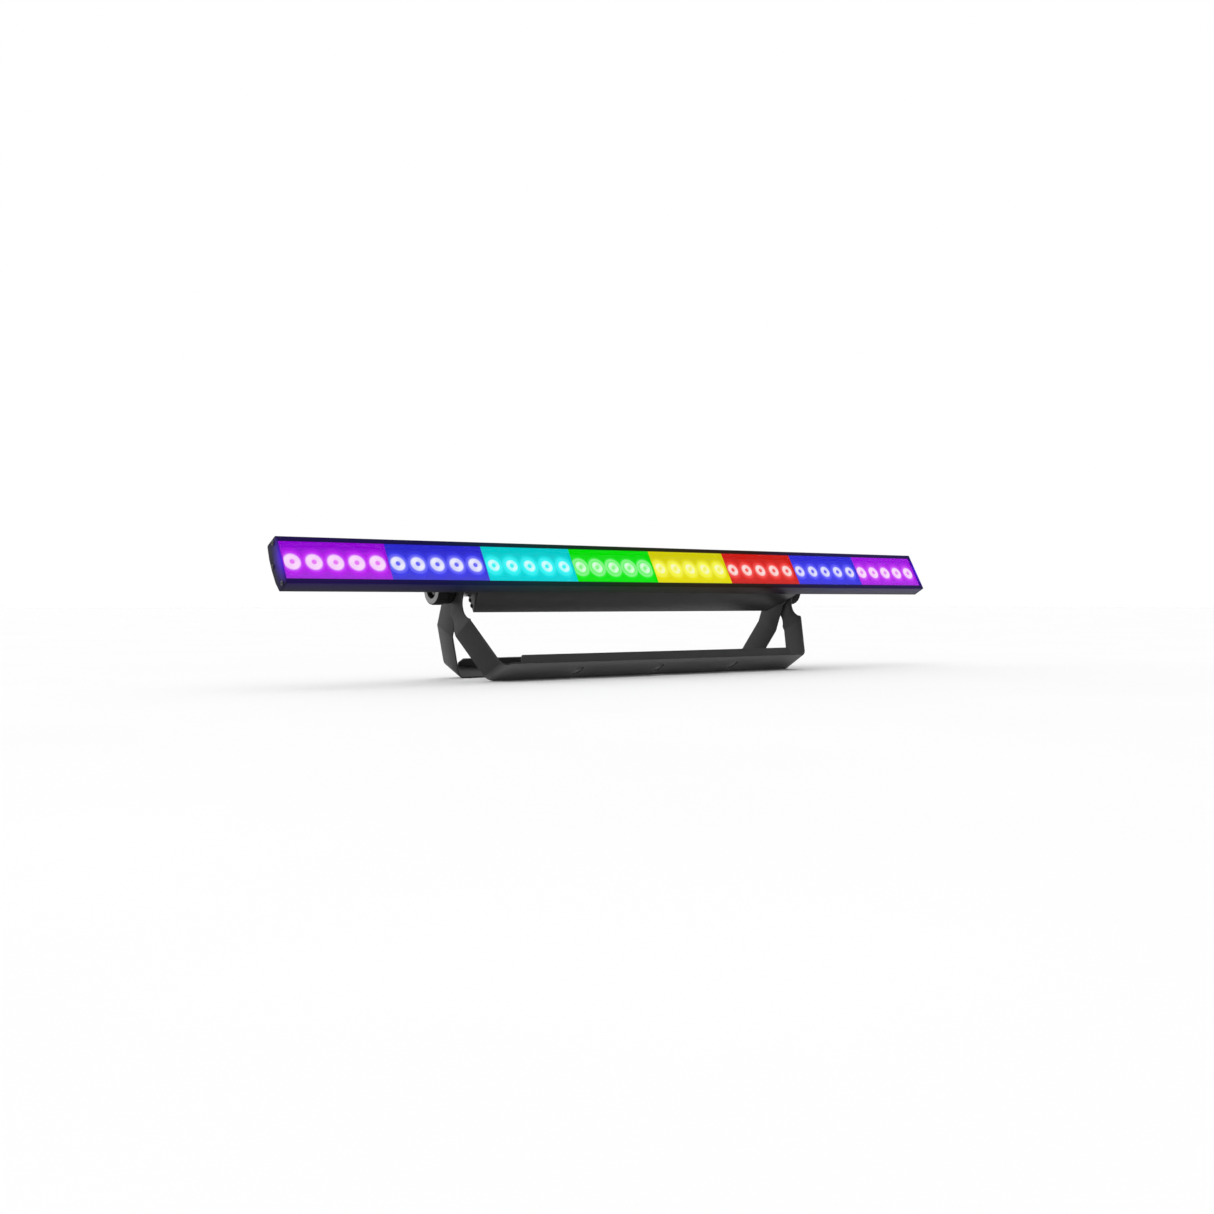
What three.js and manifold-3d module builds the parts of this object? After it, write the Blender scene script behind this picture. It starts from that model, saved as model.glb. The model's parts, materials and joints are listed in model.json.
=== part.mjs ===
// LED strip batten: a one metre bar of forty colour-mixing lights behind a clear window, with an
// electronics box on its back. Two nested yokes carry it and open like scissors to make a stand.
//
// Millimetres. X runs along the bar, Y points to the back and Z is up. The origin is on the floor
// under the middle of the overall box.
//
// Three turned groups share the pivot axis, which runs along X:
//   head        the bar and its box; -y is the way the lights face, z is up the window
//   front yoke  its legs point along -z, and its group leans them to the front
//   rear yoke   the same, leaning to the back

import * as THREE from "three";
import { mergeVertices } from "three/addons/utils/BufferGeometryUtils.js";
import Module from "manifold-3d";

const wasm = await Module();
wasm.setup();

// ---------------------------------------------------------------- driving dimensions

const GAP = 0.3; // clearance between neighbouring solids
const THROUGH = 2; // how far a cutter runs past the face it cuts

// lights
const SECTION_COUNT = 8;
const LIGHTS_PER_SECTION = 5;
const LIGHT_PITCH = 24.5;
const SECTION_LENGTH = LIGHTS_PER_SECTION * LIGHT_PITCH;
const BAR_LENGTH = SECTION_COUNT * SECTION_LENGTH;
const BOARD_COUNT = 4;

// bar housing, an extruded trough; depths are measured back from its face
const FACE_Y = -57.8; // face of the bar, in front of the pivot axis
const FACE_TOP = 29.3;
const FACE_BOTTOM = -26.7;
const WINDOW_TOP = 23.8;
const WINDOW_BOTTOM = -21.6;
const WINDOW_MIDDLE = (WINDOW_TOP + WINDOW_BOTTOM) / 2;
const BAR_WALL = 2;
const BAR_DEPTH = 25.5;
const BAR_TOP_DEPTH = 22.8;
const BAR_BOTTOM_DEPTH = 19;
const BAR_TOP_RISE = 1.2; // the top slopes up a little to the back
const END_PLATE = 1.6;

// layers inside the bar, as depths behind its face
const WINDOW_LAYER = [0.4, 2.4];
const FRAME_FRONT_LAYER = [2.7, 4.7];
const LENS_LAYER = [4.4, 11.5];
const BOARD_LAYER = [11.9, 13.5];
const SPREADER_LAYER = [13.8, 15.8];

// end plate screws, as depth behind the face and height
const END_SCREWS = [[8.2, 25.2], [20.9, 4], [8.2, -22.6]];
const CHANNEL_RADIUS = 3.2;
const SCREW_HOLE = 1.7;
const SCREW_SHANK = 1.3;

// electronics box on the back of the bar
const BOX_TOP = 24.8;
const BOX_BOTTOM = -25.3;
const BOX_BACK = 11.1;
const BOX_HALF_LENGTH = 253;
const MITRE_START = FACE_Y + 26;
const MITRE_INSET = 19.5; // each end slants in by this much
const BOX_WALL = 1.5;
const BOX_END_WALL = 1.8;
const MITRE_SLOPE = MITRE_INSET / (BOX_BACK - MITRE_START);
const MITRE_ANGLE = Math.atan(MITRE_SLOPE);

// yokes, bent from sheet; radii are measured from the pivot axis
const SHEET = 2;
const YOKE_WIDTH = 36;
const YOKE_HALF_LENGTH = 263; // outer face of the front yoke's side plates
const HUB_RADIUS = 22;
const BEND_RADIUS = 52.5; // where the legs start to slant in
const LEG_SLANT = THREE.MathUtils.degToRad(21.5);
const FRONT_BASE_RADIUS = 111.8;
const LEG_BEND = 4.5; // outer bend radii: where the legs slant in, and between a leg and the base
const BASE_BEND = 12;
const NEST_GAP = 1.3; // between the two yokes' side plates
const NEST_BASE_GAP = 4.2; // lets the rear base turn past the front one
const FLANGE_HEIGHT = 11.5;
const FRONT_FLANGE = { side: -1, reach: 21, halfLength: 213, chamfer: 3 };
const REAR_FLANGE = { side: 1, reach: 14, halfLength: 223, chamfer: 6 };
const SLOT_SPACING = 123;
const SLOT_WIDTH = 10;
const SLOT_LENGTH = 18;
const NECK_RADIUS = 17; // round cuts in the front yoke's edges, which narrow it below the hub
const NECK_CENTRES = [[-27, -35.5], [30, -34]];

// pivots
const BOSS_RADIUS = 8.5;
const BOLT_RADIUS = 4.8;
const BOLT_HOLE = 5.2;
const WASHER_THICKNESS = NEST_GAP - 2 * GAP;
const KNOB_RADIUS = 18;
const KNOB_TIP = 288;

// rest pose: both yokes stand on their inner lower edges
const HEAD_TILT = THREE.MathUtils.degToRad(29.5);
const FRONT_LEAN = THREE.MathUtils.degToRad(31.5);
const REAR_BASE_RADIUS = FRONT_BASE_RADIUS - SHEET - NEST_BASE_GAP;
const PIVOT_HEIGHT =
  FRONT_BASE_RADIUS * Math.cos(FRONT_LEAN) + (YOKE_WIDTH / 2) * Math.sin(FRONT_LEAN);
const REAR_LEAN =
  Math.atan2(YOKE_WIDTH / 2, REAR_BASE_RADIUS) +
  Math.acos(PIVOT_HEIGHT / Math.hypot(REAR_BASE_RADIUS, YOKE_WIDTH / 2));
const FRONT_REACH =
  FRONT_BASE_RADIUS * Math.sin(FRONT_LEAN) + FRONT_FLANGE.reach * Math.cos(FRONT_LEAN);
const REAR_REACH =
  REAR_BASE_RADIUS * Math.sin(REAR_LEAN) + (YOKE_WIDTH / 2) * Math.cos(REAR_LEAN);
const PIVOT_Y = (FRONT_REACH - REAR_REACH) / 2;

// ---------------------------------------------------------------- outlines

// Moves a path sideways by a distance to its left. A point is [x, y] or [x, y, corner radius].
function offsetPath(points, distance, closed) {
  const count = points.length;
  return points.map(([x, y, radius = 0], i) => {
    const before = closed || i > 0 ? leftNormal(points[(i + count - 1) % count], points[i]) : null;
    const after = closed || i < count - 1 ? leftNormal(points[i], points[(i + 1) % count]) : null;
    const a = before ?? after;
    const b = after ?? before;
    const scale = distance / (1 + a[0] * b[0] + a[1] * b[1]);
    return [x + (a[0] + b[0]) * scale, y + (a[1] + b[1]) * scale, Math.max(radius - distance, 0)];
  });
}

function leftNormal(from, to) {
  const dx = to[0] - from[0];
  const dy = to[1] - from[1];
  const length = Math.hypot(dx, dy);
  return [-dy / length, dx / length];
}

// Replaces each corner that has a radius by an arc.
function rounded(points, steps = 4) {
  const count = points.length;
  return points.flatMap(([x, y, radius = 0], i) => {
    if (radius === 0) return [[x, y]];
    const corner = new THREE.Vector2(x, y);
    const back = new THREE.Vector2(...points[(i + count - 1) % count].slice(0, 2));
    const ahead = new THREE.Vector2(...points[(i + 1) % count].slice(0, 2));
    back.sub(corner).normalize();
    ahead.sub(corner).normalize();
    const half = Math.acos(THREE.MathUtils.clamp(back.dot(ahead), -1, 1)) / 2;
    const centre = back.clone().add(ahead).setLength(radius / Math.sin(half)).add(corner);
    const start = back.clone().multiplyScalar(radius / Math.tan(half)).add(corner).sub(centre);
    const turn = -Math.sign(back.cross(ahead)) * (Math.PI - 2 * half);
    return Array.from({ length: steps + 1 }, (_, step) => {
      const spoke = start.clone().rotateAround(new THREE.Vector2(), (turn * step) / steps);
      return [centre.x + spoke.x, centre.y + spoke.y];
    });
  });
}

function circle(x, y, radius, segments) {
  return Array.from({ length: segments }, (_, i) => {
    const angle = (2 * Math.PI * i) / segments;
    return [x + radius * Math.cos(angle), y + radius * Math.sin(angle)];
  });
}

function rectangle(x0, x1, y0, y1, radius = 0) {
  return [[x0, y0, radius], [x1, y0, radius], [x1, y1, radius], [x0, y1, radius]];
}

function ordered(a, b) {
  return [Math.min(a, b), Math.max(a, b)];
}

// ---------------------------------------------------------------- solids

function extruded(points, depth) {
  const shape = new THREE.Shape(points.map(([x, y]) => new THREE.Vector2(x, y)));
  return new THREE.ExtrudeGeometry(shape, { depth, bevelEnabled: false });
}

// Outline in (y, z), swept from x0 to x1.
function alongX(points, x0, x1) {
  const turn = new THREE.Matrix4().makeBasis(
    new THREE.Vector3(0, 1, 0), new THREE.Vector3(0, 0, 1), new THREE.Vector3(1, 0, 0));
  return toSolid(extruded(points, x1 - x0).applyMatrix4(turn).translate(x0, 0, 0));
}

// Outline in (x, z), swept from y0 to y1.
function alongY(points, y0, y1) {
  return toSolid(extruded(points, y1 - y0).rotateX(Math.PI / 2).translate(0, y1, 0));
}

// Outline in (x, y), swept from z0 to z1.
function alongZ(points, z0, z1) {
  return toSolid(extruded(points, z1 - z0).translate(0, 0, z0));
}

function block(x0, x1, y0, y1, z0, z1) {
  return alongZ(rectangle(x0, x1, y0, y1), z0, z1);
}

// Profile of [radius, distance along the axis], turned about a line parallel to X or Y.
function turned(profile, axis, x, y, z, segments = 24) {
  const points = profile.map(([radius, along]) => new THREE.Vector2(radius, along));
  const geometry = new THREE.LatheGeometry(points, segments);
  if (axis === "x") geometry.rotateZ(-Math.PI / 2);
  return toSolid(geometry.translate(x, y, z));
}

function toSolid(geometry) {
  geometry.deleteAttribute("normal");
  geometry.deleteAttribute("uv");
  const merged = mergeVertices(geometry, 1e-4);
  const index = Array.from(merged.index.array);
  const corners = index.filter((_, i) => {
    const [a, b, c] = index.slice(i - (i % 3), i - (i % 3) + 3);
    return a !== b && b !== c && c !== a;
  });
  return new wasm.Manifold(new wasm.Mesh({
    numProp: 3,
    vertProperties: new Float32Array(merged.attributes.position.array),
    triVerts: new Uint32Array(corners),
  }));
}

function toGeometry(solid) {
  const mesh = solid.getMesh();
  const geometry = new THREE.BufferGeometry();
  geometry.setAttribute("position", new THREE.BufferAttribute(mesh.vertProperties, 3));
  geometry.setIndex(new THREE.BufferAttribute(mesh.triVerts, 1));
  geometry.computeVertexNormals();
  return geometry;
}

function joined(solids) {
  return solids.reduce((sum, solid) => sum.add(solid));
}

function cut(solid, cutters) {
  return cutters.reduce((rest, cutter) => rest.subtract(cutter), solid);
}

// ---------------------------------------------------------------- materials

function material(color, roughness, metalness) {
  return new THREE.MeshStandardMaterial({ color, roughness, metalness });
}

const coated = material(0x1b1b1d, 0.55, 0.4);
const anodised = material(0x131315, 0.4, 0.6);
const screwSteel = material(0x2a2a2c, 0.35, 0.9);
const brightSteel = material(0xb8babd, 0.3, 1);
const aluminium = material(0xc2c4c6, 0.45, 0.9);
const clearPlastic = material(0xdfe6ea, 0.1, 0);
const whitePlastic = material(0xe8e8e6, 0.5, 0);
const blackPlastic = material(0x0f0f10, 0.6, 0);
const greyPlastic = material(0x55585c, 0.5, 0);
const bluePlastic = material(0x1f4fa3, 0.5, 0);
const greenBoard = material(0x1d5c33, 0.5, 0);
const whiteBoard = material(0xe4e4e0, 0.5, 0);
const nylon = material(0xcfcfc8, 0.6, 0);

const group = new THREE.Group();

function turnedGroup(angle) {
  const part = new THREE.Group();
  part.position.set(0, PIVOT_Y, PIVOT_HEIGHT);
  part.rotation.x = angle;
  group.add(part);
  return part;
}

const head = turnedGroup(-HEAD_TILT);
const frontYokeGroup = turnedGroup(-FRONT_LEAN);
const rearYokeGroup = turnedGroup(REAR_LEAN);

function add(parent, name, solid, finish) {
  const mesh = new THREE.Mesh(toGeometry(solid), finish);
  mesh.name = name;
  parent.add(mesh);
}

const SIDES = [["left", -1], ["right", 1]];

// ---------------------------------------------------------------- bar

// Outer outline of the bar in (y, z), anticlockwise from the lower front corner.
const barOutline = [
  [0, FACE_BOTTOM, 1.2],
  [BAR_BOTTOM_DEPTH, FACE_BOTTOM, 2],
  [23.6, -14, 6],
  [BAR_DEPTH, 2, 4],
  [BAR_DEPTH, 16, 4],
  [BAR_TOP_DEPTH, FACE_TOP + BAR_TOP_RISE, 2],
  [0, FACE_TOP, 1.2],
].map(([depth, z, radius]) => [FACE_Y + depth, z, radius]);

// Round grooves along the back, as shares of the way between two outline corners.
function backGrooves() {
  const [, lower, knee, middle, upper] = barOutline;
  const places = [[lower, knee, 0.5], [knee, middle, 0.1], [knee, middle, 0.45],
    [knee, middle, 0.8], [middle, upper, 0.25], [middle, upper, 0.75]];
  return places.map(([from, to, share]) => {
    const y = THREE.MathUtils.lerp(from[0], to[0], share);
    const z = THREE.MathUtils.lerp(from[1], to[1], share);
    return alongX(circle(y, z, 1, 8), -BAR_LENGTH / 2 - THROUGH, BAR_LENGTH / 2 + THROUGH);
  });
}

function barHousing() {
  const half = BAR_LENGTH / 2;
  const body = alongX(rounded(barOutline), -half, half);
  const hollow = alongX(rounded(offsetPath(barOutline, BAR_WALL, true)), -half - 1, half + 1);
  const opening = block(-half - 1, half + 1, FACE_Y - 1, FACE_Y + BAR_WALL + 1,
    WINDOW_BOTTOM, WINDOW_TOP);
  const channels = END_SCREWS.map(([depth, z]) =>
    alongX(circle(FACE_Y + depth, z, CHANNEL_RADIUS, 16), -half, half).intersect(body));
  const screwHoles = END_SCREWS.flatMap(([depth, z]) =>
    SIDES.map(([, side]) => {
      const span = ordered(side * (half - 12), side * (half + 1));
      return alongX(circle(FACE_Y + depth, z, SCREW_HOLE, 10), ...span);
    }));
  const shell = cut(body, [hollow, opening, ...backGrooves()]);
  return cut(joined([shell, ...channels]), screwHoles);
}

function endPlate(side) {
  const near = BAR_LENGTH / 2 + GAP;
  const [x0, x1] = ordered(side * near, side * (near + END_PLATE));
  const holes = END_SCREWS.map(([depth, z]) =>
    alongX(circle(FACE_Y + depth, z, SCREW_HOLE, 10), x0 - 1, x1 + 1));
  return cut(alongX(rounded(barOutline), x0, x1), holes);
}

// Pan head screw with a hexagon socket. It points along +x from the face under its head.
function screw(headRadius, headHeight, shankRadius, shankLength) {
  const profile = [
    [0, -headHeight],
    [headRadius * 0.6, -headHeight],
    [headRadius * 0.9, -headHeight * 0.7],
    [headRadius, -headHeight * 0.2],
    [headRadius, 0],
    [shankRadius, 0],
    [shankRadius, shankLength],
    [0, shankLength],
  ];
  const socket = alongX(circle(0, 0, headRadius * 0.42, 6), -headHeight - 1, -headHeight * 0.35);
  return turned(profile, "x", 0, 0, 0, 12).subtract(socket);
}

function frontWindow() {
  const [near, far] = WINDOW_LAYER;
  const half = BAR_LENGTH / 2 - GAP;
  const outline = rectangle(FACE_Y + near, FACE_Y + far, WINDOW_BOTTOM + GAP, WINDOW_TOP - GAP);
  return alongX(outline, -half, half);
}

// White moulded frame behind the window, with a thin wall between each two sections. Its front
// plate spans the whole window opening, and its walls pass between the screw channels.
function sectionFrame() {
  const half = BAR_LENGTH / 2 - 1;
  const wall = 1.2;
  const top = END_SCREWS[0][1] - CHANNEL_RADIUS - GAP;
  const bottom = END_SCREWS[2][1] + CHANNEL_RADIUS + GAP;
  const front = block(-half, half, FACE_Y + FRAME_FRONT_LAYER[0], FACE_Y + FRAME_FRONT_LAYER[1],
    FACE_BOTTOM + BAR_WALL + GAP, FACE_TOP - BAR_WALL - GAP);
  const walls = block(-half, half, FACE_Y + FRAME_FRONT_LAYER[0], FACE_Y + LENS_LAYER[1], bottom, top);
  const cells = Array.from({ length: SECTION_COUNT }, (_, i) => {
    const x0 = -BAR_LENGTH / 2 + i * SECTION_LENGTH;
    const from = Math.max(x0 + wall / 2, -half + wall);
    const to = Math.min(x0 + SECTION_LENGTH - wall / 2, half - wall);
    return block(from, to, FACE_Y, FACE_Y + LENS_LAYER[1] + 1, bottom + wall, top - wall);
  });
  return cut(front.add(walls), cells);
}

// Five collimating lenses on one carrier.
function lensStrip(section) {
  const [near, far] = LENS_LAYER;
  const middle = -BAR_LENGTH / 2 + (section + 0.5) * SECTION_LENGTH;
  const halfLength = SECTION_LENGTH / 2 - 3;
  const carrier = block(middle - halfLength, middle + halfLength,
    FACE_Y + far - 1.2, FACE_Y + far, WINDOW_MIDDLE - 13, WINDOW_MIDDLE + 13);
  const profile = [[0, 0], [9.4, 0], [4.6, far - near - 0.4], [0, far - near - 0.4]];
  const lenses = Array.from({ length: LIGHTS_PER_SECTION }, (_, i) => {
    const x = middle + (i - (LIGHTS_PER_SECTION - 1) / 2) * LIGHT_PITCH;
    return turned(profile, "y", x, FACE_Y + near, WINDOW_MIDDLE, 12);
  });
  return joined([carrier, ...lenses]);
}

function ledBoard(index) {
  const length = BAR_LENGTH / BOARD_COUNT;
  const x0 = -BAR_LENGTH / 2 + index * length;
  return block(x0 + 1, x0 + length - 1, FACE_Y + BOARD_LAYER[0], FACE_Y + BOARD_LAYER[1],
    WINDOW_MIDDLE - 16, WINDOW_MIDDLE + 16);
}

function heatSpreader() {
  const half = BAR_LENGTH / 2 - 2;
  return block(-half, half, FACE_Y + SPREADER_LAYER[0], FACE_Y + SPREADER_LAYER[1],
    WINDOW_MIDDLE - 17, WINDOW_MIDDLE + 17);
}

function buildBar() {
  add(head, "bar_housing", barHousing(), anodised);
  add(head, "front_window", frontWindow(), clearPlastic);
  add(head, "section_frame", sectionFrame(), whitePlastic);
  add(head, "heat_spreader", heatSpreader(), aluminium);
  for (let i = 0; i < SECTION_COUNT; i += 1) {
    add(head, `lens_strip_${i + 1}`, lensStrip(i), clearPlastic);
  }
  for (let i = 0; i < BOARD_COUNT; i += 1) {
    add(head, `led_board_${i + 1}`, ledBoard(i), whiteBoard);
  }
  for (const [name, side] of SIDES) {
    add(head, `end_plate_${name}`, endPlate(side), coated);
    END_SCREWS.forEach(([depth, z], i) => {
      const seat = side * (BAR_LENGTH / 2 + GAP + END_PLATE + GAP);
      const fastener = screw(2.9, 1.1, SCREW_SHANK, 9);
      const facing = side > 0 ? fastener.rotate([0, 0, 180]) : fastener;
      add(head, `end_screw_${name}_${i + 1}`, facing.translate([seat, FACE_Y + depth, z]), screwSteel);
    });
  }
}

// ---------------------------------------------------------------- electronics box

// Plan of the box in (x, y), with both mitred ends moved in by an inset.
function boxPlan(inset) {
  const straight = BOX_HALF_LENGTH - inset;
  const shift = inset / Math.cos(MITRE_ANGLE);
  const kink = MITRE_START + (inset - shift) / MITRE_SLOPE;
  const back = BOX_BACK + THROUGH;
  const far = BOX_HALF_LENGTH - shift - MITRE_SLOPE * (back - MITRE_START);
  const front = FACE_Y;
  return [[-straight, front], [straight, front], [straight, kink], [far, back], [-far, back],
    [-straight, kink]];
}

function boxBlank() {
  const outline = rounded([
    [FACE_Y + 10, BOX_BOTTOM],
    [BOX_BACK, BOX_BOTTOM, 2.5],
    [BOX_BACK, BOX_TOP, 2.5],
    [FACE_Y + 10, BOX_TOP],
  ]);
  const clearOfBar = alongX(rounded(offsetPath(barOutline, -GAP, true)),
    -BOX_HALF_LENGTH - 1, BOX_HALF_LENGTH + 1);
  const long = alongX(outline, -BOX_HALF_LENGTH, BOX_HALF_LENGTH);
  return long.intersect(alongZ(boxPlan(0), BOX_BOTTOM - 1, BOX_TOP + 1)).subtract(clearOfBar);
}

const PANEL_FACE = BOX_BACK + GAP;
const SOCKET_FLANGE = 2;
const SOCKET_BODY_RADIUS = 11.5;
const SOCKET_SEGMENTS = 24;
const PIN_CIRCLE = 4.6;
const SOCKETS = {
  power_inlet: { x: -196, core: 7.4, finish: bluePlastic },
  power_outlet: { x: -160, core: 7.4, finish: greyPlastic },
  data_inlet: { x: 160, core: 0, finish: blackPlastic },
  data_outlet: { x: 196, core: 9.9, finish: blackPlastic },
};
const FUSE = { x: -127, radius: 6.2 };
const BEZEL = { x0: -66, x1: 72, halfHeight: 15, thickness: 0.8 };
const DISPLAY = { x0: -58, x1: -12, halfHeight: 9 };
const BUTTON_PLACES = [6, 24, 42, 60];
const BUTTON = { radius: 4.5, hole: 4.9, proud: 2.4, depth: 2.6 };
const EYE_X = 108;
const VENT_CENTRES = [-92, 128];
const BOX_SCREW_HEIGHTS = [-10, -17.5];

function ventSlots() {
  return VENT_CENTRES.flatMap((centre) =>
    Array.from({ length: 5 }, (_, i) => {
      const x = centre + (i - 2) * 4;
      return alongY(rectangle(x - 0.9, x + 0.9, -15, 15), BOX_BACK - BOX_WALL - THROUGH,
        BOX_BACK + THROUGH);
    }));
}

function boxShell() {
  const outline = rectangle(FACE_Y, BOX_BACK - BOX_WALL, BOX_BOTTOM + BOX_WALL, BOX_TOP - BOX_WALL);
  const hollow = alongX(outline, -BOX_HALF_LENGTH - 1, BOX_HALF_LENGTH + 1);
  const trimmed = alongZ(boxPlan(BOX_END_WALL + GAP), BOX_BOTTOM - 1, BOX_TOP + 1);
  const panelCut = (points) => alongY(points, BOX_BACK - BOX_WALL - THROUGH, BOX_BACK + THROUGH);
  const holes = [
    ...Object.values(SOCKETS).map(({ x }) => panelCut(
      circle(x, 0, SOCKET_BODY_RADIUS + GAP, SOCKET_SEGMENTS))),
    panelCut(circle(FUSE.x, 0, FUSE.radius + GAP, 24)),
    panelCut(rectangle(DISPLAY.x0 - GAP, DISPLAY.x1 + GAP, -DISPLAY.halfHeight - GAP,
      DISPLAY.halfHeight + GAP)),
    ...BUTTON_PLACES.map((x) => panelCut(circle(x, 0, BUTTON.hole, 20))),
    ...ventSlots(),
  ];
  return cut(boxBlank().intersect(trimmed), [hollow, ...holes]);
}

// Middle of a mitred end at the depth of its screws, and the way the end faces.
const BOX_SCREW_Y = 7.4;
const BOX_SCREW_X = BOX_HALF_LENGTH - MITRE_SLOPE * (BOX_SCREW_Y - MITRE_START);

function boxEnd(side) {
  const inner = alongZ(boxPlan(BOX_END_WALL), BOX_BOTTOM - 1, BOX_TOP + 1);
  const near = side > 0 ? 1 : -BOX_HALF_LENGTH - 1;
  const half = block(near, near + BOX_HALF_LENGTH, FACE_Y, BOX_BACK + 1, BOX_BOTTOM - 1, BOX_TOP + 1);
  const reach = side > 0 ? [200, 260] : [-260, -200];
  const bossHole = alongX(circle(0, 0, BOSS_RADIUS + GAP, 32), ...reach);
  const screwHoles = BOX_SCREW_HEIGHTS.map((z) => placeOnMitre(
    alongX(circle(0, 0, SCREW_HOLE, 10), -4, 4), side, z));
  return cut(boxBlank().intersect(half), [inner, bossHole, ...screwHoles]);
}

// Turns a solid whose +x points into the box, and puts it on the outer face of a mitred end.
function placeOnMitre(solid, side, z) {
  const angle = THREE.MathUtils.radToDeg(MITRE_ANGLE);
  const turn = side > 0 ? 180 + angle : -angle;
  return solid.rotate([0, 0, turn]).translate([side * BOX_SCREW_X, BOX_SCREW_Y, z]);
}

function socket({ x, core }) {
  const front = PANEL_FACE + SOCKET_FLANGE;
  const depth = 13;
  const flange = alongY(rounded(rectangle(x - 13, x + 13, -15.5, 15.5, 3)), PANEL_FACE, front);
  const body = alongY(circle(x, 0, SOCKET_BODY_RADIUS, SOCKET_SEGMENTS), PANEL_FACE - depth - 4, front);
  const bore = alongY(circle(x, 0, SOCKET_BODY_RADIUS - 1.2, SOCKET_SEGMENTS), front - depth, front + 1);
  const shell = flange.add(body).subtract(bore);
  const pinCircle = [90, 210, 330].map((degrees) => THREE.MathUtils.degToRad(degrees));
  if (core === 0) {
    const pins = pinCircle.map((angle) => alongY(
      circle(x + PIN_CIRCLE * Math.cos(angle), PIN_CIRCLE * Math.sin(angle), 1.1, 8),
      front - depth - 1, front - 6));
    return joined([shell, ...pins]);
  }
  const plug = alongY(circle(x, 0, core, SOCKET_SEGMENTS), front - depth - 1, front - 0.6);
  const holes = pinCircle.map((angle) => alongY(
    circle(x + PIN_CIRCLE * Math.cos(angle), PIN_CIRCLE * Math.sin(angle), 1.2, 8),
    front - 8, front + 1));
  return cut(shell.add(plug), holes);
}

function fuseCap() {
  const front = PANEL_FACE + 4;
  const cap = turned([
    [0, PANEL_FACE - 12], [FUSE.radius, PANEL_FACE - 12], [FUSE.radius, PANEL_FACE],
    [FUSE.radius + 1.8, PANEL_FACE], [FUSE.radius + 1.8, front - 1], [FUSE.radius + 0.8, front],
    [0, front],
  ], "y", FUSE.x, 0, 0, 24);
  return cap.subtract(block(FUSE.x - 5, FUSE.x + 5, front - 1.4, front + 1, -0.7, 0.7));
}

function controlBezel() {
  const plate = alongY(rounded(rectangle(BEZEL.x0, BEZEL.x1, -BEZEL.halfHeight, BEZEL.halfHeight, 3)),
    PANEL_FACE, PANEL_FACE + BEZEL.thickness);
  const cutter = (points) => alongY(points, PANEL_FACE - 1, PANEL_FACE + BEZEL.thickness + 1);
  return cut(plate, [
    cutter(rectangle(DISPLAY.x0 - GAP, DISPLAY.x1 + GAP, -DISPLAY.halfHeight - GAP,
      DISPLAY.halfHeight + GAP)),
    ...BUTTON_PLACES.map((x) => cutter(circle(x, 0, BUTTON.hole, 20))),
  ]);
}

function button(x) {
  const inner = BOX_BACK - BUTTON.depth;
  const outer = PANEL_FACE + BUTTON.proud;
  return turned([
    [0, inner], [BUTTON.radius, inner], [BUTTON.radius, outer - 0.6], [BUTTON.radius - 0.6, outer],
    [0, outer],
  ], "y", x, 0, 0, 20);
}

// Steel loop on a foot, for a safety wire.
function safetyEye() {
  const rod = 2.5;
  const reach = 14;
  const halfSpan = 10;
  const foot = alongY(rounded(rectangle(EYE_X - 17, EYE_X + 17, -6, 6, 2)), PANEL_FACE, PANEL_FACE + 2);
  const route = new THREE.CurvePath();
  const low = PANEL_FACE + 1;
  const shoulder = PANEL_FACE + reach - 4;
  const points = [[-halfSpan, low], [-halfSpan, shoulder], [0, PANEL_FACE + reach + 3],
    [halfSpan, shoulder], [halfSpan, low]].map(([x, y]) => new THREE.Vector3(EYE_X + x, y, 0));
  route.add(new THREE.LineCurve3(points[0], points[1]));
  route.add(new THREE.CubicBezierCurve3(points[1], new THREE.Vector3(EYE_X - halfSpan, points[2].y, 0),
    new THREE.Vector3(EYE_X + halfSpan, points[2].y, 0), points[3]));
  route.add(new THREE.LineCurve3(points[3], points[4]));
  const section = new THREE.Shape(circle(0, 0, rod, 8).map(([x, y]) => new THREE.Vector2(x, y)));
  const loop = new THREE.ExtrudeGeometry(section, { steps: 18, extrudePath: route });
  return foot.add(toSolid(loop));
}

function buildBox() {
  add(head, "box_shell", boxShell(), coated);
  add(head, "power_supply", block(-205, -20, -29, -7, -19, 19), aluminium);
  add(head, "control_board", block(-80, 140, 3.4, 5, -19, 19).add(
    block(-54, -16, 4, BOX_BACK - BOX_WALL - 1, -7, 7)), greenBoard);
  add(head, "control_bezel", controlBezel(), blackPlastic);
  add(head, "display", block(DISPLAY.x0, DISPLAY.x1, BOX_BACK - BOX_WALL, PANEL_FACE + 0.6,
    -DISPLAY.halfHeight, DISPLAY.halfHeight), clearPlastic);
  add(head, "fuse_cap", fuseCap(), blackPlastic);
  add(head, "safety_eye", safetyEye(), brightSteel);
  for (const [name, details] of Object.entries(SOCKETS)) {
    add(head, name, socket(details), details.finish);
  }
  BUTTON_PLACES.forEach((x, i) => add(head, `button_${i + 1}`, button(x), greyPlastic));
  for (const [name, side] of SIDES) {
    add(head, `box_end_${name}`, boxEnd(side), coated);
    BOX_SCREW_HEIGHTS.forEach((z, i) => {
      const fastener = screw(2.6, 1.5, SCREW_SHANK, 5).translate([-GAP, 0, 0]);
      add(head, `box_screw_${name}_${i + 1}`, placeOnMitre(fastener, side, z), screwSteel);
    });
  }
}

// ---------------------------------------------------------------- yokes

// Half-length of the base's outer face between the bends to the legs, if they were sharp.
function baseCorner(halfLength, bendRadius, baseRadius) {
  return halfLength - (baseRadius - bendRadius) * Math.tan(LEG_SLANT);
}

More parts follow.
